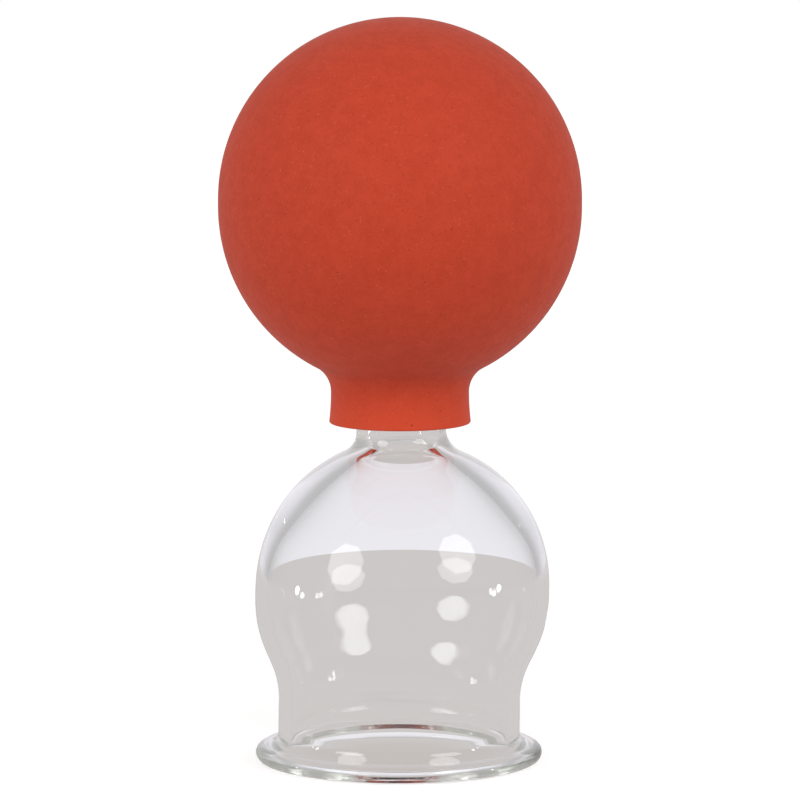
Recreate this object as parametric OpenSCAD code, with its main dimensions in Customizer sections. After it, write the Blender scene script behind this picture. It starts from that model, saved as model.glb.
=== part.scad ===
// Cupping glass: a blown bell of clear glass with a rubber squeeze bulb pushed on its neck.
// Millimetres, +Z up. The glass stands on its rim at z = 0 and the part turns about the Z axis.
// Every solid is one outline of lines and tangent arcs, revolved once.

/* [Rim] */
// Outside diameter of the rim
rim_d = 49.8; // [48:0.1:60]
// Thickness of the rim, rounded over at its edge
rim_t = 2.9; // [1.6:0.1:4]
// Radius of the flare from the tube out to the rim
flare_r = 2.2; // [0.8:0.1:4]
// Radius of the flare inside, from the tube out to the standing face
lip_r = 3.6; // [0.8:0.1:4.4]

/* [Bell] */
// Outside diameter of the straight tube above the rim
tube_d = 42; // [34:0.5:43.5]
// Height of the straight tube, from the flare up to the waist
tube_h = 4.9; // [1:0.1:12]
// Outside diameter of the bell
bell_d = 51; // [46:0.5:56]
// Height of the straight belt below the dome
belt_h = 2.1; // [0.5:0.1:5]
// Radius of the bell's outside where it turns in below the belt
belly_curve = 22.5; // [15:0.5:30]
// Radius of the hollow curve that runs down into the tube
waist_curve = 18; // [10:0.5:24]
// Thickness of the blown wall, up to the belt
wall = 2.2; // [1.4:0.1:3.2]
// Radius of the inside where the dome springs from the belt
haunch_r = 18; // [14:0.5:22]
// Turn of the inside from the belt up to the crown, in degrees
haunch_turn = 38; // [25:1:55]
// Radius of the inside under the crown, where the glass is thickest
crown_r = 36; // [26:0.5:50]

/* [Neck] */
// Outside diameter of the neck where it leaves the shoulder
neck_d = 15.6; // [14.5:0.1:18]
// Taper of the neck on each side, in degrees
neck_taper = 2; // [0.5:0.1:4]
// Radius of the shoulder between the dome and the neck
shoulder_r = 4; // [2:0.1:7]
// Bare neck between the shoulder and the collar
bare_neck = 1.6; // [0.5:0.1:6]
// Length of the neck inside the collar
neck_reach = 9; // [5:0.1:12]
// Diameter of the bore through the neck
bore_d = 8.9; // [6:0.1:10]
// Rounding where the bore opens into the bell
throat_r = 3.5; // [1:0.1:5]
// Fire-polished rounding of the neck's tip
tip_r = 1.2; // [0.4:0.1:1.3]

/* [Rubber bulb] */
// Diameter of the ball
ball_d = 62.8; // [50:0.1:75]
// Height of the straight belt at the ball's widest place
ball_belt = 1.2; // [0.4:0.1:8]
// Thickness of the ball's wall
ball_wall = 2.8; // [1.6:0.1:3.6]
// Diameter of the collar at its top
collar_d = 23.9; // [21:0.1:30]
// Diameter of the collar at its foot
collar_foot_d = 24.5; // [21.5:0.1:31]
// Height of the collar's side, below its fillet
collar_h = 5.4; // [3:0.1:10]
// Radius of the fillet between the collar and the ball
collar_fillet = 5; // [2:0.1:8]
// Rounding of the collar's edges
collar_edge = 0.4; // [0.2:0.1:1]
// Clearance all round between the neck and the collar's socket
fit_gap = 0.15; // [0.1:0.05:0.3]

/* [Hidden] */

// Largest distance between an arc and its chords
arc_error = 0.01;
// Overshoot of a cut past the face that it opens
cut_over = 1;

rim_edge = rim_t / 2;
rim_c = [rim_d / 2 - rim_edge, rim_edge];
tube_r = tube_d / 2;
// The flare can't reach past the rounded edge
flare = min(flare_r, rim_c.x - tube_r);
flare_c = [tube_r + flare, rim_t + flare];
lip_c = [tube_r - wall + lip_r, lip_r];

// The waist's arc leaves the top of the tube, and touches the belly's arc from outside
bell_r = bell_d / 2;
waist_c = [tube_r + waist_curve, flare_c.y + tube_h];
belly_x = bell_r - belly_curve;
belly_c = [belly_x, waist_c.y + leg(belly_curve + waist_curve, waist_c.x - belly_x)];
turn_in = bearing(belly_c, waist_c);
dome_c = belly_c + [-belly_x, belt_h];

neck_r = neck_d / 2;
bore_r = bore_d / 2;
// The shoulder's arc touches the dome from outside, and the tapered neck
shoulder_x = neck_r + shoulder_r * cos(neck_taper);
shoulder_c = [shoulder_x, dome_c.y + leg(bell_r + shoulder_r, shoulder_x)];
neck_z = shoulder_c.y - shoulder_r * sin(neck_taper);

// The haunch leaves the belt, the crown carries on from it, and the throat touches the crown
haunch_c = [bell_r - wall - haunch_r, dome_c.y];
crown_c = haunch_c - (crown_r - haunch_r) * [cos(haunch_turn), sin(haunch_turn)];
throat_x = bore_r + throat_r;
throat_c = [throat_x, crown_c.y + leg(crown_r + throat_r, throat_x - crown_c.x)];

collar_z = neck_z + bare_neck;
tip_z = collar_z + neck_reach;
tip_c = [neck_at(tip_z - tip_r) - tip_r / cos(neck_taper), tip_z - tip_r];
bore_tip_c = [bore_r + tip_r, tip_z - tip_r];

ball_r = ball_d / 2;
collar_r = collar_d / 2;
collar_foot_r = collar_foot_d / 2;
collar_lean = atan2(collar_foot_r - collar_r, collar_h);
// The fillet's arc touches the collar's side, and the ball from outside
fillet_c = [collar_r + collar_fillet, collar_z + collar_h];
ball_low_c = [0, fillet_c.y + leg(ball_r + collar_fillet, fillet_c.x)];
ball_top_c = ball_low_c + [0, ball_belt];
ball_foot = bearing(ball_low_c, fillet_c);
// The ball flexes above the circle where the fillet ends
flex_z = ball_low_c.y + ball_r * sin(ball_foot);
foot_edge_c = [collar_foot_r - collar_edge, collar_z + collar_edge];
socket_edge_c = [socket_at(collar_z) + collar_edge, collar_z + collar_edge];

// Third side of a right-angled triangle, from its longest side and one short side
function leg(long, short) = sqrt(long * long - short * short);

// Direction from one point to another, in degrees
function bearing(from, to) = atan2(to.y - from.y, to.x - from.x);

// Points of an arc, with as many chords as arc_error asks for
function arc(c, r, from, to) =
    let (n = max(2, ceil(abs(to - from) / (2 * acos(1 - arc_error / r)))))
    [for (i = [0:n]) c + r * [cos(from + (to - from) * i / n), sin(from + (to - from) * i / n)]];

// Outside radius of the tapered neck at a height
function neck_at(z) = neck_r - (z - neck_z) * tan(neck_taper);

// Radius of the collar's socket at a height
function socket_at(z) = neck_at(z) + fit_gap;

// Upright capsule outline from the axis outwards, round both ball centres
module capsule_half(r) {
    polygon(concat(arc(ball_low_c, r, -90, 0), arc(ball_top_c, r, 0, 90)));
}

// Blown glass: rim, tube, waist, bell, shoulder and neck outside, then back down the inside
module glass_cup() {
    outside = concat(
        arc(rim_c, rim_edge, -90, 90),
        arc(flare_c, flare, 270, 180),
        arc(waist_c, waist_curve, 180, turn_in + 180),
        arc(belly_c, belly_curve, turn_in, 0),
        arc(dome_c, bell_r, 0, bearing(dome_c, shoulder_c)),
        arc(shoulder_c, shoulder_r, bearing(dome_c, shoulder_c) + 180, 180 + neck_taper),
        arc(tip_c, tip_r, neck_taper, 90));
    inside = concat(
        arc(bore_tip_c, tip_r, 90, 180),
        arc(throat_c, throat_r, 180, bearing(crown_c, throat_c) + 180),
        arc(crown_c, crown_r, bearing(crown_c, throat_c), haunch_turn),
        arc(haunch_c, haunch_r, haunch_turn, 0),
        arc(belly_c, belly_curve - wall, 0, turn_in),
        arc(waist_c, waist_curve + wall, turn_in + 180, 180),
        arc(lip_c, lip_r, 180, 270));
    color([0.86, 0.90, 0.90, 0.45])
        rotate_extrude()
            polygon(concat(outside, inside));
}

// Thick rubber ring that grips the neck, up to the circle where the ball begins to flex
module bulb_collar() {
    side = concat(
        arc(foot_edge_c, collar_edge, -90, collar_lean),
        arc(fillet_c, collar_fillet, 180, ball_foot + 180));
    socket = concat(
        [[socket_at(flex_z), flex_z]],
        arc(socket_edge_c, collar_edge, 180, 270));
    color([0.78, 0.28, 0.18])
        rotate_extrude()
            polygon(concat(side, socket));
}

// Hollow rubber ball, open at its foot into the collar's socket
module bulb_ball() {
    color([0.75, 0.27, 0.18])
        rotate_extrude()
            difference() {
                intersection() {
                    capsule_half(ball_r);
                    translate([0, flex_z])
                        square([ball_d, ball_d + ball_belt]);
                }
                capsule_half(ball_r - ball_wall);
                translate([0, flex_z - cut_over])
                    square([socket_at(flex_z), ball_wall + 2 * cut_over]);
            }
}

glass_cup();
bulb_collar();
bulb_ball();
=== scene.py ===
"""Cupping glass: a blown bell of clear glass with a red rubber squeeze bulb, in a pale studio."""

import math

import bpy
import numpy as np
from bpy.props import FloatProperty, FloatVectorProperty, PointerProperty
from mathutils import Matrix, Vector


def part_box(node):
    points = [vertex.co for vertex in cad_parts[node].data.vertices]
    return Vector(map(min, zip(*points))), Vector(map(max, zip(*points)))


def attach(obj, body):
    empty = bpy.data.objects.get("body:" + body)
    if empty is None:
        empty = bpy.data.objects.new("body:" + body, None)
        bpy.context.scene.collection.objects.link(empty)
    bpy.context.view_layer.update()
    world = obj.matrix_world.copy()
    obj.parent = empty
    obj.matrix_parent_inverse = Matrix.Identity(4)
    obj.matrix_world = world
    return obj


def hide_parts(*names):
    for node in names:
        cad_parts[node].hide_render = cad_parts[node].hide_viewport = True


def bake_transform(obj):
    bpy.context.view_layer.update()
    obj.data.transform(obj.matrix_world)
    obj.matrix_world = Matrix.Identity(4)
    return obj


bl_info = {
    "name": "Cupping glass",
    "version": (1, 0, 0),
    "blender": (4, 5, 0),
    "location": "View3D > Sidebar > Cupping",
    "description": "Blown glass bell, rubber squeeze bulb and the studio that shows them",
    "category": "Add Mesh",
}

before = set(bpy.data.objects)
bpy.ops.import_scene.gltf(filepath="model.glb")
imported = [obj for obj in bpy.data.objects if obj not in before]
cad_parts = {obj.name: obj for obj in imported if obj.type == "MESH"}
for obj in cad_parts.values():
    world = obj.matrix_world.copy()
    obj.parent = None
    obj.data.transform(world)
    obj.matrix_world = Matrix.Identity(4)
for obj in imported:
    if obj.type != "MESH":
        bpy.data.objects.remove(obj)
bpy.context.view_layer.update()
GLASS_LOW, GLASS_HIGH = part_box("glass_cup")
COLLAR_LOW, COLLAR_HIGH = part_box("bulb_collar")
BALL_LOW, BALL_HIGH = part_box("bulb_ball")

MM = 0.001
# Angles of a quarter and of half a turn
QUARTER, HALF = math.pi / 2, math.pi
WHITE = (1, 1, 1, 1)
# Points along an outline lie about this far apart, and a point this near the last one repeats it
OUTLINE_STEP = 0.45 * MM
SAME_POINT = 0.01 * OUTLINE_STEP
# Fewest points of an arc, and the points of the collar's curved side
ARC_POINTS = 9
SIDE_POINTS = 27
# Steps of a full turn
TURN_STEPS = 192
# A mean along the outline takes in neighbours up to so many times its reach
MEAN_REACHES = 3
# Heights over which the glass's settling, waves and lean fade in, and over which they fade out
SETTLED_IN, SETTLED_OUT = (9 * MM, 13 * MM), (44 * MM, 50 * MM)
WALL_WAVES_IN, WALL_WAVES_OUT = (4 * MM, 12 * MM), (44 * MM, 54 * MM)
NECK_WAVES_IN, NECK_WAVES_OUT = (50 * MM, 54.5 * MM), (58 * MM, 60 * MM)
LEAN_OUT = (52 * MM, 62 * MM)
# Middle of the bell's lean, as a share of its sway
LEAN_MIDDLE = 0.5
# Waves of the glass: count round the turn, height in which it winds on by a radian, phase, share
WALL_WAVES = ((2, 9 * MM, 0, 1), (5, -6 * MM, 1, 0.6), (9, 14 * MM, 2, 0.4))
NECK_WAVES = ((3, 1.1 * MM, 0, 1), (4, -0.8 * MM, 1, 0.7))
# Span of a noise's values over which the mottling and the dots come up
MOTTLE_SPAN = (0.27, 0.73)
DOT_SPAN = (0.66, 0.78)
# Sockets of a Mix node that take and give colours
MIX_FIRST, MIX_SECOND, MIX_RESULT = 6, 7, 2
# Corners of a lamp, and the height on the axis that the lamps face
LAMP_CORNERS = 8
LAMP_AIM = 31 * MM


def length(name, description, default):
    """A size in metres, as a property."""
    return FloatProperty(name=name, description=description, default=default, unit="LENGTH", precision=5)


def angle(name, description, degrees):
    """An angle, as a property."""
    return FloatProperty(name=name, description=description, default=math.radians(degrees),
                         subtype="ANGLE")


def colour(name, description, default):
    """A linear colour, as a property."""
    return FloatVectorProperty(name=name, description=description, default=default, subtype="COLOR",
                               size=3, min=0, max=1)


def share(name, description, default, top=1):
    """A number without a unit, as a property."""
    return FloatProperty(name=name, description=description, default=default, min=0, soft_max=top)


class BlownGlassSizes(bpy.types.PropertyGroup):
    """Sizes of the glass bell. The bell's width and the neck's height come from the frame."""

    rim_diameter: length("Rim", "Outside diameter of the rim", 49.8 * MM)
    rim_thickness: length("Rim thickness", "Thickness of the rim, rounded over at its edge", 2.9 * MM)
    flare: length("Flare", "Radius of the flare from the tube out to the rim", 2.2 * MM)
    lip: length("Lip", "Radius of the flare inside, from the tube down to the edge", 6 * MM)
    lip_edge: length("Lip edge", "Radius of the lip where it meets the standing face", 1.2 * MM)
    lip_turn: angle("Lip turn", "Turn of the lip down to its edge", 58.5)
    tube_diameter: length("Tube", "Outside diameter of the straight tube above the rim", 42 * MM)
    tube_height: length("Tube height", "Height of the straight tube", 6.15 * MM)
    bell_diameter: length("Bell", "Outside diameter of the bell", GLASS_HIGH.x - GLASS_LOW.x)
    belt_height: length("Belt", "Height of the straight belt below the dome", 2.1 * MM)
    belly_curve: length("Belly curve", "Radius of the bell's side below the belt", 22.5 * MM)
    waist_curve: length("Waist curve", "Radius of the hollow curve into the tube", 13 * MM)
    wall: length("Wall", "Thickness of the blown wall", 2.2 * MM)
    neck_diameter: length("Neck", "Diameter of the neck where it leaves the shoulder", 15.6 * MM)
    neck_taper: angle("Neck taper", "Taper of the neck on each side", 2)
    neck_top: length("Neck top", "Height of the neck's tip", GLASS_HIGH.z)
    shoulder: length("Shoulder", "Radius between the dome and the neck", 4 * MM)
    bore_diameter: length("Bore", "Diameter of the bore through the neck", 8.9 * MM)
    haunch_in: length("Haunch curve", "Radius of the inside where the dome springs from the belt", 18 * MM)
    haunch_turn: angle("Haunch turn", "Turn of the inside from the belt up to the crown's arc", 36.4)
    crown_in: length("Crown curve", "Radius of the inside under the thick crown", 33 * MM)
    throat: length("Throat", "Radius of the flare from the crown up to the bore", 10 * MM)
    throat_edge: length("Throat edge", "Radius of the throat where it meets the bore", 0.8 * MM)
    throat_turn: angle("Throat turn", "Turn of the throat from the bore to its flare", 40)
    tip: length("Tip", "Fire-polished rounding of the neck's tip", 1.2 * MM)
    settling: length("Settling", "Length over which the bell's curves run into each other", 2.5 * MM)
    sway: length("Sway", "How far the bell's lean swings to each side of its middle", 0.4 * MM)
    sway_height: length("Sway height", "Height in which the lean swings there and back", 90 * MM)
    neck_ripple: length("Neck ripple", "Unevenness of the bare neck's outside, drawn by hand", 0.04 * MM)
    ripple: length("Ripple", "Unevenness of the blown wall's inside", 0.002 * MM)


class RubberBulbSizes(bpy.types.PropertyGroup):
    """Sizes of the rubber bulb. The ball's width and the main heights come from the frame."""

    ball_diameter: length("Ball", "Diameter of the ball", BALL_HIGH.x - BALL_LOW.x)
    crown: length("Crown", "Height of the ball's top", BALL_HIGH.z)
    ball_belt: length("Ball belt", "Height of the straight belt at the ball's widest place", 1.2 * MM)
    ball_wall: length("Ball wall", "Thickness of the ball's wall", 2.8 * MM)
    flex_height: length("Flex height", "Height of the circle above which the ball flexes", COLLAR_HIGH.z)
    collar_foot: length("Collar foot", "Height of the collar's foot", COLLAR_LOW.z)
    collar_diameter: length("Collar", "Diameter of the collar at its top", 23.9 * MM)
    foot_diameter: length("Foot", "Diameter of the collar at its foot", 24.5 * MM)
    fillet: length("Fillet", "Radius between the collar and the ball", 5 * MM)
    edge: length("Edge", "Rounding of the collar's edges", 0.35 * MM)
    fit_gap: length("Fit", "Clearance between the neck and the socket", 0.15 * MM)


class FinishColours(bpy.types.PropertyGroup):
    """Colours, gloss and grain of the two materials."""

    rubber: colour("Rubber", "Brick red of the moulded rubber", (0.580, 0.056, 0.0195))
    # Painted light: a brighter red painted on the collar towards its foot, standing in for the light that
    # falls there
    rubber_lit_foot: colour("Rubber, fresh", "Cleaner red of the collar's foot", (0.675, 0.068, 0.024))
    rubber_worn: colour("Rubber, handled", "Duller red of the mottling", (0.508, 0.048, 0.0175))
    bloom: colour("Bloom", "Pale dots of bloom on the rubber", (0.61, 0.085, 0.045))
    pit: colour("Pits", "Dark dots in the rubber", (0.37, 0.032, 0.013))
    rubber_roughness: share("Rubber roughness", "Roughness of the matt rubber", 0.72)
    roughness_spread: share("Roughness spread", "How far the mottling changes the roughness", 0.05)
    mottle_grain: share("Mottle grain", "Patches of the mottling to a metre", 320, 5000)
    bloom_grain: share("Bloom grain", "Fineness of the pale dots, to a metre", 2300, 5000)
    pit_grain: share("Pit grain", "Fineness of the dark dots, to a metre", 2700, 5000)
    matt_grain: share("Matt grain", "Bumps of the matt surface to a metre", 1900, 5000)
    matt_strength: share("Matt strength", "Strength of the matt surface's bumps", 0.36)
    matt_depth: length("Matt depth", "Depth of the matt surface's bumps", 0.05 * MM)
    glass: colour("Glass", "Tint of the glass surface", (0.99, 0.995, 0.99))
    glass_depth: colour("Glass depth", "Colour that deep glass takes on", (0.865, 0.88, 0.855))
    glass_density: share("Glass density", "How fast deep glass takes on its colour, per metre", 13, 100)
    glass_ior: share("Glass index", "Index of refraction of the glass", 1.48, 2)
    wave_grain: share("Wave grain", "Waves of the glass surface to a metre", 90, 5000)
    wave_strength: share("Wave strength", "Strength of the glass surface's waves", 0.3)
    wave_depth: length("Wave depth", "Depth of the glass surface's waves", 0.02 * MM)


class StudioSettings(bpy.types.PropertyGroup):
    """Floor, lamps, backdrop and camera."""

    floor_drop: length("Floor drop", "Gap between the rim and the floor", 0.15 * MM)
    floor_far: length("Floor far edge", "How far the floor goes on behind the glass", 1.6)
    floor_near: length("Floor near edge", "How far the floor comes to the front", 1.6)
    floor_side: length("Floor sides", "How far the floor goes to each side", 1.2)
    floor_shade: colour("Floor shade", "Colour of the floor in the lamps' light", (0.8, 0.8, 0.8))
    floor_glow: share("Floor glow", "The floor's own glow below the glass", 0.415)
    floor_glow_far: share("Floor glow, far", "The floor's own glow at the end of its reach", 0.60)
    floor_glow_reach: length("Floor glow reach", "Distance over which the floor's glow rises", 0.9)
    table: colour("Table", "Floor as the glass shows it", (0.627, 0.597, 0.593))
    table_under: colour("Table under", "Grey of the table inside the rim, where the red ball shades it",
                        (0.575, 0.530, 0.515))
    under_radius: length("Under radius", "Radius of the fully shaded table", 14 * MM)
    table_radius: length("Table radius", "Radius at which the shading has ended", 26 * MM)
    backdrop: colour("Backdrop", "Backdrop as the glass shows it", (0.91, 0.89, 0.95))
    room: colour("Room", "Room round the backdrop as the glass shows it", (0.50, 0.49, 0.50))
    backdrop_end: share("Backdrop end", "Cosine of the angle at which the backdrop has faded out", 0.82)
    ambient: share("Ambient", "Light of the room from the camera's side", 0.41)
    ambient_behind: share("Ambient behind", "Light of the room from behind the glass", 0.66)
    lamp_distance: length("Lamp distance", "Distance of the three soft lamps", 1.0)
    lamp_width: length("Lamp width", "Width of the three soft lamps", 0.50)
    lamp_glow: share("Lamp glow", "Brightness of the left and right lamps at their centre", 4.8, 20)
    lamp_falloff: share("Lamp falloff", "Brightness at a lamp's edge, as a share of its centre", 0.9)
    high_glow: share("High lamp glow", "Brightness of the high front lamp, which the glass doesn't show",
                     2.5, 20)
    high_rise: angle("High lamp rise", "Height angle of the high front lamp", 48)
    left_turn: angle("Left lamp turn", "Turn of the left lamp from the camera's side", 49)
    left_rise: angle("Left lamp rise", "Height angle of the left lamp", 21)
    right_turn: angle("Right lamp turn", "Turn of the right lamp from the camera's side", 48.5)
    right_rise: angle("Right lamp rise", "Height angle of the right lamp", 28)
    spark_distance: length("Spark distance", "Distance of the two small lamps at the sides", 0.5)
    spark_width: length("Spark width", "Width of the two small lamps", 36 * MM)
    spark_glow: share("Spark glow", "Brightness of the two small lamps", 20, 100)
    spark_rise: angle("Spark rise", "Height angle of the two small lamps", -1)
    left_spark_turn: angle("Left spark turn", "Turn of the left small lamp from the camera's side", 88.5)
    right_spark_turn: angle("Right spark turn", "Turn of the right small lamp from the camera's side", 79)
    camera_distance: length("Camera distance", "Distance of the camera in front of the axis", 1.2)
    camera_height: length("Camera height", "Height of the camera", 214.6 * MM)
    camera_aim: length("Camera aim", "Height on the axis that the camera looks at", 63.07 * MM)
    camera_lens: share("Camera lens", "Focal length in millimetres", 314.5, 1000)


def arc(centre, radius, start, stop):
    """Arc in the (r, z) plane: centre + radius (cos a, sin a) for angles a from start to stop."""
    count = max(ARC_POINTS, round(abs(stop - start) * radius / OUTLINE_STEP))
    a = np.linspace(start, stop, count)
    return np.asarray(centre) + radius * np.stack([np.cos(a), np.sin(a)], axis=1)


def chain(*runs):
    """Runs of points joined into one outline: straight gaps get points at the outline's step,
    and points that repeat the one before are dropped."""
    points = np.concatenate(runs)
    gap = np.linalg.norm(np.diff(points, axis=0), axis=1)
    points = points[np.concatenate([[True], gap > SAME_POINT])]
    along = np.concatenate([[0], np.cumsum(np.linalg.norm(np.diff(points, axis=0), axis=1))])
    counts = np.maximum(1, np.round(np.diff(along) / OUTLINE_STEP)).astype(int)
    part = np.concatenate([[0], np.cumsum(counts)])
    at = np.interp(np.arange(part[-1] + 1), part, along)
    return np.stack([np.interp(at, along, points[:, 0]), np.interp(at, along, points[:, 1])], axis=1)


def bearing(start, stop):
    """Direction from one (r, z) point to another, as an angle."""
    return math.atan2(stop[1] - start[1], stop[0] - start[0])


def leg(long_side, short_side):
    """Third side of a right-angled triangle."""
    return math.sqrt(long_side ** 2 - short_side ** 2)


def ease(x, low, high):
    """Smooth step: 0 below low, 1 above high, 3 t^2 - 2 t^3 between them."""
    t = np.clip((x - low) / (high - low), 0, 1)
    return t * t * (3 - 2 * t)


def within(z, rise, fall):
    """Strength of an effect at a height: from 0 to 1 over the rise, and back to 0 over the fall."""
    return ease(z, *rise) * (1 - ease(z, *fall))


def turned(outline):
    """Surface of revolution on a grid: row i is turn t = 2 pi i / n, column j is outline point j,
    and the point is (r cos t, r sin t, z)."""
    t = np.linspace(0, 2 * np.pi, TURN_STEPS, endpoint=False)[:, None]
    r, z = outline[None, :, 0], outline[None, :, 1]
    return np.stack([r * np.cos(t), r * np.sin(t), z + 0 * t], axis=-1)


def grid_faces(rows, columns, ring):
    """Four-sided faces between neighbours on the grid: rows close on themselves, and columns too
    where the outline is a ring."""
    i = np.arange(rows)[:, None]
    j = np.arange(columns if ring else columns - 1)[None, :]
    i_next, j_next = (i + 1) % rows, (j + 1) % columns
    corners = [i * columns + j, i * columns + j_next, i_next * columns + j_next, i_next * columns + j]
    return np.stack(corners, axis=-1).reshape(-1, 4)


def add_piece(name, points, faces, material):
    """New smooth mesh object at the origin, with one material."""
    mesh = bpy.data.meshes.new(name)
    mesh.from_pydata(points.tolist(), [], faces)
    mesh.validate()
    mesh.shade_smooth()
    mesh.materials.append(material)
    piece = bpy.data.objects.new(name, mesh)
    bpy.context.scene.collection.objects.link(piece)
    return piece


def add_values(piece, name, values):
    """Number for each point of a piece, which its material reads by name."""
    attribute = piece.data.attributes.new(name, "FLOAT", "POINT")
    attribute.data.foreach_set("value", values.astype(np.float32))


def neighbour_mean(values, reach):
    """Each row becomes the mean of its neighbours along the outline, weighted by
    exp(-(distance / reach)^2 / 2)."""
    span = round(MEAN_REACHES * reach / OUTLINE_STEP)
    weight = np.exp(-0.5 * (np.arange(-span, span + 1) * OUTLINE_STEP / reach) ** 2)
    weight = weight / weight.sum()
    padded = np.pad(values, ((span, span), (0, 0)), mode="edge")
    return np.stack([np.convolve(column, weight, mode="valid") for column in padded.T], axis=1)


def settled(points, reach):
    """Outline of the bell as soft glass settles: the neighbours' mean, plus the mean of what that
    left out, so that the curves run into each other without a jump and keep their size. Rim and neck
    stay as they are."""
    mean = neighbour_mean(points, reach)
    mean = mean + neighbour_mean(points - mean, reach)
    return points + within(points[:, 1:], SETTLED_IN, SETTLED_OUT) * (mean - points)


def glass_outline(g):
    """Outline of the glass, a ring of tangent arcs: down the outside from the neck's tip to the rim,
    and up the inside. Neighbouring arcs share a tangent, because each centre lies at the sum or the
    difference of the two radii from the next. The inside is the outside offset by the wall up to the
    belt. Above it a haunch and a flatter crown leave the glass thickest round the neck. The lip and
    the throat are wide flares that end in a tight edge. Last, the bell's curves settle."""
    tube, bell = g.tube_diameter / 2, g.bell_diameter / 2
    neck, bore = g.neck_diameter / 2, g.bore_diameter / 2
    edge = g.rim_thickness / 2
    rim_c = (g.rim_diameter / 2 - edge, edge)
    # The flare can't reach past the rounded edge
    flare = min(g.flare, rim_c[0] - tube)
    flare_c = (tube + flare, g.rim_thickness + flare)
    lip_c = (tube - g.wall + g.lip, g.lip_edge + (g.lip - g.lip_edge) * math.sin(g.lip_turn))
    lip_edge_c = (lip_c[0] - (g.lip - g.lip_edge) * math.cos(g.lip_turn), g.lip_edge)
    waist_c = (tube + g.waist_curve, flare_c[1] + g.tube_height)
    belly_x = bell - g.belly_curve
    belly_c = (belly_x, waist_c[1] + leg(g.belly_curve + g.waist_curve, waist_c[0] - belly_x))
    turn_in = bearing(belly_c, waist_c)
    dome_c = (0, belly_c[1] + g.belt_height)
    shoulder_x = neck + g.shoulder * math.cos(g.neck_taper)
    shoulder_c = (shoulder_x, dome_c[1] + leg(bell + g.shoulder, shoulder_x))
    dome_end = bearing(dome_c, shoulder_c)
    neck_z = shoulder_c[1] - g.shoulder * math.sin(g.neck_taper)
    haunch_c = (bell - g.wall - g.haunch_in, dome_c[1])
    crown_c = (haunch_c[0] - (g.crown_in - g.haunch_in) * math.cos(g.haunch_turn),
               haunch_c[1] - (g.crown_in - g.haunch_in) * math.sin(g.haunch_turn))
    throat_x = bore + g.throat_edge + (g.throat - g.throat_edge) * math.cos(g.throat_turn)
    throat_c = (throat_x, crown_c[1] + leg(g.crown_in + g.throat, throat_x - crown_c[0]))
    throat_end = bearing(crown_c, throat_c)
    throat_edge_c = (bore + g.throat_edge,
                     throat_c[1] - (g.throat - g.throat_edge) * math.sin(g.throat_turn))
    tip_z = g.neck_top - g.tip
    tip_x = neck - (tip_z - neck_z) * math.tan(g.neck_taper) - g.tip / math.cos(g.neck_taper)
    outside = [
        arc((tip_x, tip_z), g.tip, QUARTER, g.neck_taper),
        arc(shoulder_c, g.shoulder, HALF + g.neck_taper, HALF + dome_end),
        arc(dome_c, bell, dome_end, 0),
        arc(belly_c, g.belly_curve, 0, turn_in),
        arc(waist_c, g.waist_curve, HALF + turn_in, HALF),
        arc(flare_c, flare, HALF, HALF + QUARTER),
        arc(rim_c, edge, QUARTER, -QUARTER),
    ]
    inside = [
        arc(lip_edge_c, g.lip_edge, HALF + QUARTER, HALF + g.lip_turn),
        arc(lip_c, g.lip, HALF + g.lip_turn, HALF),
        arc(waist_c, g.waist_curve + g.wall, HALF, HALF + turn_in),
        arc(belly_c, g.belly_curve - g.wall, turn_in, 0),
        arc(haunch_c, g.haunch_in, 0, g.haunch_turn),
        arc(crown_c, g.crown_in, g.haunch_turn, throat_end),
        arc(throat_c, g.throat, HALF + throat_end, HALF + g.throat_turn),
        arc(throat_edge_c, g.throat_edge, HALF + g.throat_turn, HALF),
        arc((bore + g.tip, tip_z), g.tip, HALF, QUARTER),
    ]
    return settled(chain(*outside), g.settling), settled(chain(*inside), g.settling)


def waves(table, turn, z):
    """Sum of share * sin(count * turn + z / height + phase) over the waves of a table."""
    return sum(part * np.sin(count * turn + z / height + phase) for count, height, phase, part in table)


def blown(points, inner, g):
    """Hand-blown unevenness. The axis leans along X by sway (1/2 - cos), a swing over the height that
    fades out up the neck. The inside moves along the radius by ripple times three slow waves round
    the turn, so that the wall isn't everywhere the same. The bare neck's outside moves by its own
    ripple times two waves that wind round it."""
    x, y, z = points[..., 0], points[..., 1], points[..., 2]
    turn = np.arctan2(y, x)
    swing = LEAN_MIDDLE - np.cos(2 * np.pi * z / g.sway_height)
    lean = g.sway * swing * (1 - ease(z, *LEAN_OUT))
    wall = g.ripple * waves(WALL_WAVES, turn, z) * within(z, WALL_WAVES_IN, WALL_WAVES_OUT)
    neck = g.neck_ripple * waves(NECK_WAVES, turn, z) * within(z, NECK_WAVES_IN, NECK_WAVES_OUT)
    push = np.where(inner, wall, neck)
    return np.stack([x + lean + push * np.cos(turn), y + push * np.sin(turn), z], axis=-1)


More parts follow.
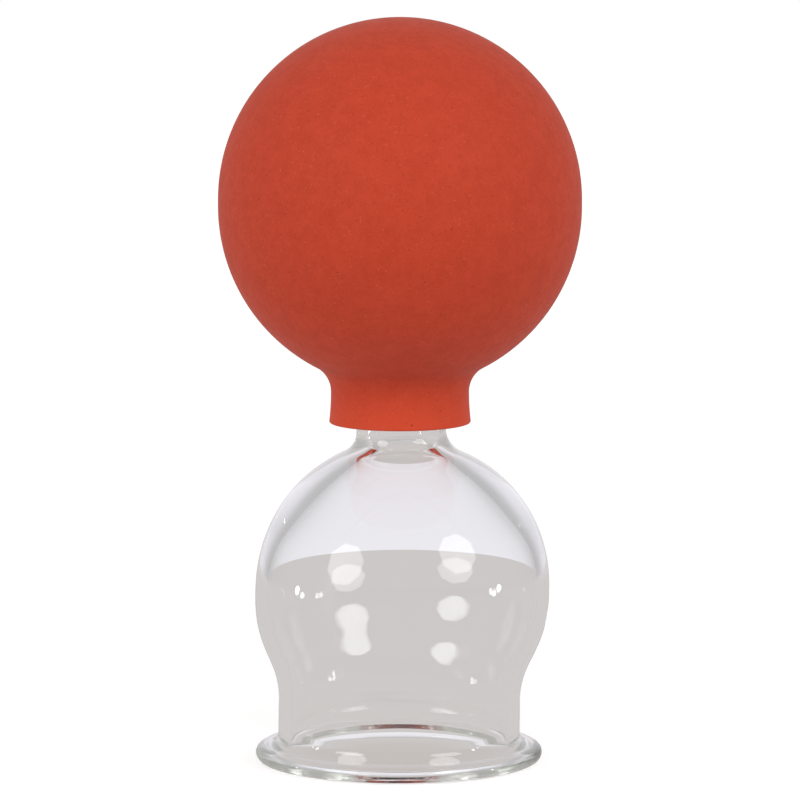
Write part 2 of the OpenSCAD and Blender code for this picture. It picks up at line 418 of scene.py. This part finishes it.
def rubber_outline(b, g):
    """Outline of the bulb from the crown down its outside and up its inside, back to the axis.
    The ball is two quarter arcs with a short belt between them, its fillet touches it from outside,
    and the collar's side widens with the square of the way down to its foot."""
    ball, wall = b.ball_diameter / 2, b.ball_wall
    collar, foot = b.collar_diameter / 2, b.foot_diameter / 2
    top_c = (0, b.crown - ball)
    low_c = (0, top_c[1] - b.ball_belt)
    fillet_x = collar + b.fillet
    fillet_c = (fillet_x, low_c[1] - leg(ball + b.fillet, fillet_x))
    ball_end = bearing(low_c, fillet_c)
    down = np.linspace(0, 1, SIDE_POINTS)[:, None]
    side_low = b.collar_foot + b.edge
    side = np.concatenate([collar + (foot - collar) * down ** 2,
                           fillet_c[1] + (side_low - fillet_c[1]) * down], axis=1)
    socket = g.neck_diameter / 2 + b.fit_gap
    mouth = socket - (b.flex_height - b.collar_foot) * math.tan(g.neck_taper)
    cavity_start = bearing(low_c, (mouth, low_c[1] - leg(ball - wall, mouth)))
    return chain(
        arc(top_c, ball, QUARTER, 0),
        arc(low_c, ball, 0, ball_end),
        arc(fillet_c, b.fillet, HALF + ball_end, HALF),
        side,
        arc((foot - b.edge, side_low), b.edge, 0, -QUARTER),
        arc((socket + b.edge, side_low), b.edge, -QUARTER, -HALF),
        arc(low_c, ball - wall, cavity_start, 0),
        arc(top_c, ball - wall, 0, QUARTER))


def add_node(tree, kind, values=None, **settings):
    """New shader node with its settings and the values of its unlinked sockets."""
    node = tree.nodes.new(kind)
    for key, value in settings.items():
        setattr(node, key, value)
    for socket, value in (values or {}).items():
        node.inputs[socket].default_value = value
    return node


def rgba(rgb):
    """A colour with full alpha."""
    return (*rgb, 1)


def new_material(name):
    """Empty node material and its tree."""
    material = bpy.data.materials.new(name)
    material.use_nodes = True
    material.node_tree.nodes.clear()
    return material, material.node_tree


def show(tree, surface, kind="ShaderNodeOutputMaterial"):
    """Output node that shows a shader."""
    output = add_node(tree, kind)
    tree.links.new(surface, output.inputs["Surface"])
    return output


def noise(tree, place, scale, detail, roughness=0.5):
    """Noise on the piece's own coordinates, with about scale grains to a metre."""
    node = add_node(tree, "ShaderNodeTexNoise", {"Scale": scale, "Detail": detail, "Roughness": roughness})
    tree.links.new(place, node.inputs["Vector"])
    return node.outputs["Fac"]


def raised(tree, height, strength, depth):
    """Surface direction of a fine relief, from the socket that gives its height."""
    node = add_node(tree, "ShaderNodeBump", {"Strength": strength, "Distance": depth})
    tree.links.new(height, node.inputs["Height"])
    return node.outputs["Normal"]


def between(tree, value, low, high, out_low=0.0, out_high=1.0):
    """Value mapped smoothly from low..high to out_low..out_high."""
    node = add_node(tree, "ShaderNodeMapRange", {"From Min": low, "From Max": high, "To Min": out_low,
                                                 "To Max": out_high}, interpolation_type="SMOOTHSTEP")
    tree.links.new(value, node.inputs["Value"])
    return node.outputs["Result"]


def mixed(tree, factor, first, second):
    """Colour between first and second, each a colour or a socket."""
    node = add_node(tree, "ShaderNodeMix", data_type="RGBA")
    tree.links.new(factor, node.inputs["Factor"])
    for socket, value in ((node.inputs[MIX_FIRST], first), (node.inputs[MIX_SECOND], second)):
        if isinstance(value, bpy.types.NodeSocket):
            tree.links.new(value, socket)
        else:
            socket.default_value = value
    return node.outputs[MIX_RESULT]


def matt_rubber(f):
    """Moulded rubber: mottling from broad to fine, faint pale and dark dots, and a matt grain."""
    material, tree = new_material("matt_rubber")
    place = add_node(tree, "ShaderNodeTexCoord").outputs["Object"]
    mottle = between(tree, noise(tree, place, f.mottle_grain, detail=4, roughness=0.9), *MOTTLE_SPAN)
    pale_dot = between(tree, noise(tree, place, f.bloom_grain, detail=1), *DOT_SPAN)
    dark_dot = between(tree, noise(tree, place, f.pit_grain, detail=1), *DOT_SPAN)
    tint = mixed(tree, mottle, rgba(f.rubber), rgba(f.rubber_worn))
    # Painted light: the collar is painted a brighter red towards its foot
    painted_foot_light = add_node(tree, "ShaderNodeAttribute", attribute_name="painted_foot_light").outputs["Fac"]
    tint = mixed(tree, painted_foot_light, tint, rgba(f.rubber_lit_foot))
    tint = mixed(tree, pale_dot, tint, rgba(f.bloom))
    tint = mixed(tree, dark_dot, tint, rgba(f.pit))
    rough = between(tree, mottle, 0, 1, f.rubber_roughness - f.roughness_spread,
                    f.rubber_roughness + f.roughness_spread)
    grain = raised(tree, noise(tree, place, f.matt_grain, detail=3), f.matt_strength, f.matt_depth)
    shader = add_node(tree, "ShaderNodeBsdfPrincipled", {
        "Specular IOR Level": 0.25, "Sheen Weight": 0.05, "Sheen Roughness": 0.45})
    tree.links.new(tint, shader.inputs["Base Color"])
    tree.links.new(rough, shader.inputs["Roughness"])
    tree.links.new(grain, shader.inputs["Normal"])
    show(tree, shader.outputs["BSDF"])
    return material


def clear_glass(f):
    """Fire-polished glass: smooth, with a faint wave in the surface and a grey-green tint in its depth."""
    material, tree = new_material("clear_glass")
    place = add_node(tree, "ShaderNodeTexCoord").outputs["Object"]
    wave = raised(tree, noise(tree, place, f.wave_grain, detail=1), f.wave_strength, f.wave_depth)
    shader = add_node(tree, "ShaderNodeBsdfPrincipled", {
        "Base Color": rgba(f.glass), "Roughness": 0.0, "IOR": f.glass_ior, "Transmission Weight": 1.0})
    tree.links.new(wave, shader.inputs["Normal"])
    depth = add_node(tree, "ShaderNodeVolumeAbsorption", {
        "Color": rgba(f.glass_depth), "Density": f.glass_density})
    output = show(tree, shader.outputs["BSDF"])
    tree.links.new(depth.outputs["Volume"], output.inputs["Volume"])
    return material


def by_ray(tree, rays, seen, otherwise):
    """Shader that is seen by the named kinds of ray, and otherwise the other one."""
    path = add_node(tree, "ShaderNodeLightPath")
    factor = path.outputs[rays[0]]
    for name in rays[1:]:
        either = add_node(tree, "ShaderNodeMath", operation="MAXIMUM")
        tree.links.new(factor, either.inputs[0])
        tree.links.new(path.outputs[name], either.inputs[1])
        factor = either.outputs["Value"]
    mix = add_node(tree, "ShaderNodeMixShader")
    tree.links.new(factor, mix.inputs["Fac"])
    tree.links.new(otherwise, mix.inputs[1])
    tree.links.new(seen, mix.inputs[2])
    return mix.outputs["Shader"]


def pale_floor(s):
    """Floor: white with the object's shadow to the camera, and a grey table in glass and as light.
    The floor's own glow rises with the distance, as the lamps' light on it falls."""
    material, tree = new_material("pale_floor")
    away = add_node(tree, "ShaderNodeVectorMath", operation="LENGTH")
    tree.links.new(add_node(tree, "ShaderNodeTexCoord").outputs["Object"], away.inputs[0])
    # Painted shade: inside the rim the table is painted darker and redder, for the ball's shadow and its
    # red light on it
    outside = between(tree, away.outputs["Value"], s.under_radius, s.table_radius)
    table = add_node(tree, "ShaderNodeEmission")
    tree.links.new(mixed(tree, outside, rgba(s.table_under), rgba(s.table)), table.inputs["Color"])
    rising = between(tree, away.outputs["Value"], 0, s.floor_glow_reach, s.floor_glow, s.floor_glow_far)
    glow = add_node(tree, "ShaderNodeEmission")
    tree.links.new(rising, glow.inputs["Strength"])
    shade = add_node(tree, "ShaderNodeBsdfDiffuse", {"Color": rgba(s.floor_shade)})
    both = add_node(tree, "ShaderNodeAddShader")
    tree.links.new(glow.outputs["Emission"], both.inputs[0])
    tree.links.new(shade.outputs["BSDF"], both.inputs[1])
    show(tree, by_ray(tree, ["Is Camera Ray"], both.outputs["Shader"], table.outputs["Emission"]))
    return material


def lamp_face():
    """Face of a soft lamp, as bright as its glow attribute says."""
    material, tree = new_material("lamp_face")
    glow = add_node(tree, "ShaderNodeAttribute", attribute_name="glow")
    light = add_node(tree, "ShaderNodeEmission")
    tree.links.new(glow.outputs["Fac"], light.inputs["Strength"])
    show(tree, light.outputs["Emission"])
    return material


def pale_room(s):
    """World: white to the camera, the pale backdrop in glass and gloss, and an ambient light that is
    stronger from behind."""
    world = bpy.data.worlds.new("pale_room")
    world.use_nodes = True
    tree = world.node_tree
    tree.nodes.clear()
    white = add_node(tree, "ShaderNodeBackground", {"Color": WHITE, "Strength": 1})
    across = add_node(tree, "ShaderNodeSeparateXYZ")
    tree.links.new(add_node(tree, "ShaderNodeTexCoord").outputs["Generated"], across.inputs["Vector"])
    behind = between(tree, across.outputs["Y"], s.backdrop_end, 1)
    backdrop = add_node(tree, "ShaderNodeBackground", {"Strength": 1})
    tree.links.new(mixed(tree, behind, rgba(s.room), rgba(s.backdrop)), backdrop.inputs["Color"])
    light = between(tree, across.outputs["Y"], -1, 1, s.ambient, s.ambient_behind)
    ambient = add_node(tree, "ShaderNodeBackground", {"Color": WHITE})
    tree.links.new(light, ambient.inputs["Strength"])
    shown = by_ray(tree, ["Is Glossy Ray", "Is Transmission Ray"], backdrop.outputs["Background"],
                   ambient.outputs["Background"])
    shown = by_ray(tree, ["Is Camera Ray"], white.outputs["Background"], shown)
    show(tree, shown, "ShaderNodeOutputWorld")
    return world


def add_lamp(name, turn, rise, distance, width, glow, edge_glow, material):
    """Flat octagon that faces the bell: centre + r (cos a u + sin a v), with u level and v upright.
    Its eight triangles meet at the centre, and the glow falls off from there to the edge."""
    out = np.array([math.sin(turn) * math.cos(rise), -math.cos(turn) * math.cos(rise), math.sin(rise)])
    level = np.array([math.cos(turn), math.sin(turn), 0])
    upright = np.cross(level, out)
    ring = np.arange(LAMP_CORNERS)
    half_side = np.pi / LAMP_CORNERS
    a = (1 + 2 * ring[:, None]) * half_side
    radius = width / 2 / math.cos(half_side)
    centre = out * distance + [0, 0, LAMP_AIM]
    corners = centre + radius * (np.cos(a) * level + np.sin(a) * upright)
    triangles = np.stack([ring, np.roll(ring, -1), np.full(LAMP_CORNERS, LAMP_CORNERS)], axis=1)
    lamp = add_piece(name, np.vstack([corners, centre]), triangles.tolist(), material)
    add_values(lamp, "glow", np.append(np.full(LAMP_CORNERS, edge_glow), glow))
    lamp.visible_camera = False
    return lamp


def deep_light_paths(cycles):
    """Enough bounces for light that stays in the rim and the neck for many reflections, and no blur in
    the glass that lights the rubber round the neck."""
    cycles.max_bounces = 160
    cycles.glossy_bounces = 128
    cycles.transmission_bounces = 128
    cycles.blur_glossy = 0


class CUPPING_OT_blown_glass(bpy.types.Operator):
    """Blow the glass bell: the ring outline turned about the axis, with a slight lean and ripple"""

    bl_idname = "cupping.blown_glass"
    bl_label = "Blown glass"

    def execute(self, context):
        part = context.scene.cupping
        outside, inside = glass_outline(part.glass)
        outline = np.concatenate([outside, inside[:-1]])
        inner = np.arange(len(outline)) >= len(outside)
        points = blown(turned(outline), inner[None, :], part.glass)
        faces = grid_faces(TURN_STEPS, len(outline), ring=True)
        piece = add_piece("blown_glass", points.reshape(-1, 3), faces.tolist(), clear_glass(part.finish))
        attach(piece, "cup")
        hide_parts("glass_cup")
        return {"FINISHED"}


class CUPPING_OT_rubber_bulb(bpy.types.Operator):
    """Mould the rubber bulb: ball, fillet, collar, socket and hollow in one unbroken skin"""

    bl_idname = "cupping.rubber_bulb"
    bl_label = "Rubber bulb"

    def execute(self, context):
        part = context.scene.cupping
        outline = rubber_outline(part.rubber, part.glass)
        skin, poles = outline[1:-1], outline[[0, -1]]
        count = len(skin)
        rows = np.arange(TURN_STEPS) * count
        outer_pole = TURN_STEPS * count
        caps = [
            np.stack([np.full(TURN_STEPS, outer_pole), rows, np.roll(rows, -1)], axis=1),
            np.stack([np.full(TURN_STEPS, outer_pole + 1), np.roll(rows, -1), rows], axis=1)
            + [0, count - 1, count - 1],
        ]
        points = np.concatenate([turned(skin).reshape(-1, 3), [[0, 0, z] for z in poles[:, 1]]])
        faces = grid_faces(TURN_STEPS, count, ring=False).tolist() + np.concatenate(caps).tolist()
        piece = add_piece("rubber_bulb", points, faces, matt_rubber(part.finish))
        low, high = part.rubber.collar_foot, part.rubber.flex_height
        # Painted light: 1 at the collar's foot, fading to 0 at the flex height, where the brighter red is
        # painted
        add_values(piece, "painted_foot_light", 1 - ease(points[:, 2], low, high))
        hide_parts("bulb_collar", "bulb_ball")
        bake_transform(piece)
        return {"FINISHED"}


class CUPPING_OT_studio(bpy.types.Operator):
    """Set up the pale floor, the soft lamps in front, the small ones at the sides, room and camera"""

    bl_idname = "cupping.studio"
    bl_label = "Studio"

    def execute(self, context):
        s = context.scene.cupping.studio
        x, drop = s.floor_side, -s.floor_drop
        corners = np.array([[-x, -s.floor_near, drop], [x, -s.floor_near, drop],
                            [x, s.floor_far, drop], [-x, s.floor_far, drop]])
        add_piece("floor", corners, [[0, 1, 2, 3]], pale_floor(s))
        face = lamp_face()
        soft = (s.lamp_distance, s.lamp_width, s.lamp_glow, s.lamp_glow * s.lamp_falloff)
        add_lamp("left_lamp", -s.left_turn, s.left_rise, *soft, face)
        add_lamp("right_lamp", s.right_turn, s.right_rise, *soft, face)
        high = add_lamp("high_lamp", 0, s.high_rise, s.lamp_distance, s.lamp_width,
                        s.high_glow, s.high_glow, face)
        high.visible_glossy = False
        high.visible_transmission = False
        spark = (s.spark_distance, s.spark_width, s.spark_glow, s.spark_glow)
        add_lamp("left_spark", -s.left_spark_turn, s.spark_rise, *spark, face)
        add_lamp("right_spark", s.right_spark_turn, s.spark_rise, *spark, face)
        context.scene.world = pale_room(s)
        camera = bpy.data.objects.new("camera", bpy.data.cameras.new("camera"))
        camera.data.lens = s.camera_lens
        camera.location = (0, -s.camera_distance, s.camera_height)
        aim = Vector((0, 0, s.camera_aim)) - camera.location
        camera.rotation_euler = aim.to_track_quat("-Z", "Y").to_euler()
        context.scene.collection.objects.link(camera)
        context.scene.camera = camera
        context.scene.view_settings.view_transform = "Standard"
        deep_light_paths(context.scene.cycles)
        return {"FINISHED"}


class CuppingPart(bpy.types.PropertyGroup):
    """Everything that can be set on the cupping glass."""

    glass: PointerProperty(type=BlownGlassSizes)
    rubber: PointerProperty(type=RubberBulbSizes)
    finish: PointerProperty(type=FinishColours)
    studio: PointerProperty(type=StudioSettings)


class VIEW3D_PT_cupping(bpy.types.Panel):
    """Sidebar panel with the operators and all settings"""

    bl_label = "Cupping glass"
    bl_space_type = "VIEW_3D"
    bl_region_type = "UI"
    bl_category = "Cupping"

    def draw(self, context):
        for operator in OPERATORS:
            self.layout.operator(operator.bl_idname)
        part = context.scene.cupping
        for group in (part.glass, part.rubber, part.finish, part.studio):
            box = self.layout.box()
            for name in group.__annotations__:
                box.prop(group, name)


OPERATORS = (CUPPING_OT_blown_glass, CUPPING_OT_rubber_bulb, CUPPING_OT_studio)
CLASSES = (BlownGlassSizes, RubberBulbSizes, FinishColours, StudioSettings, CuppingPart,
           *OPERATORS, VIEW3D_PT_cupping)


def register():
    """Register the classes and hang the settings on the scene."""
    for cls in CLASSES:
        bpy.utils.register_class(cls)
    bpy.types.Scene.cupping = PointerProperty(type=CuppingPart)


def unregister():
    """Take the settings and the classes away again."""
    del bpy.types.Scene.cupping
    for cls in reversed(CLASSES):
        bpy.utils.unregister_class(cls)


def main():
    register()
    bpy.ops.cupping.blown_glass()
    bpy.ops.cupping.rubber_bulb()
    bpy.ops.cupping.studio()


if __name__ == "__main__":
    main()
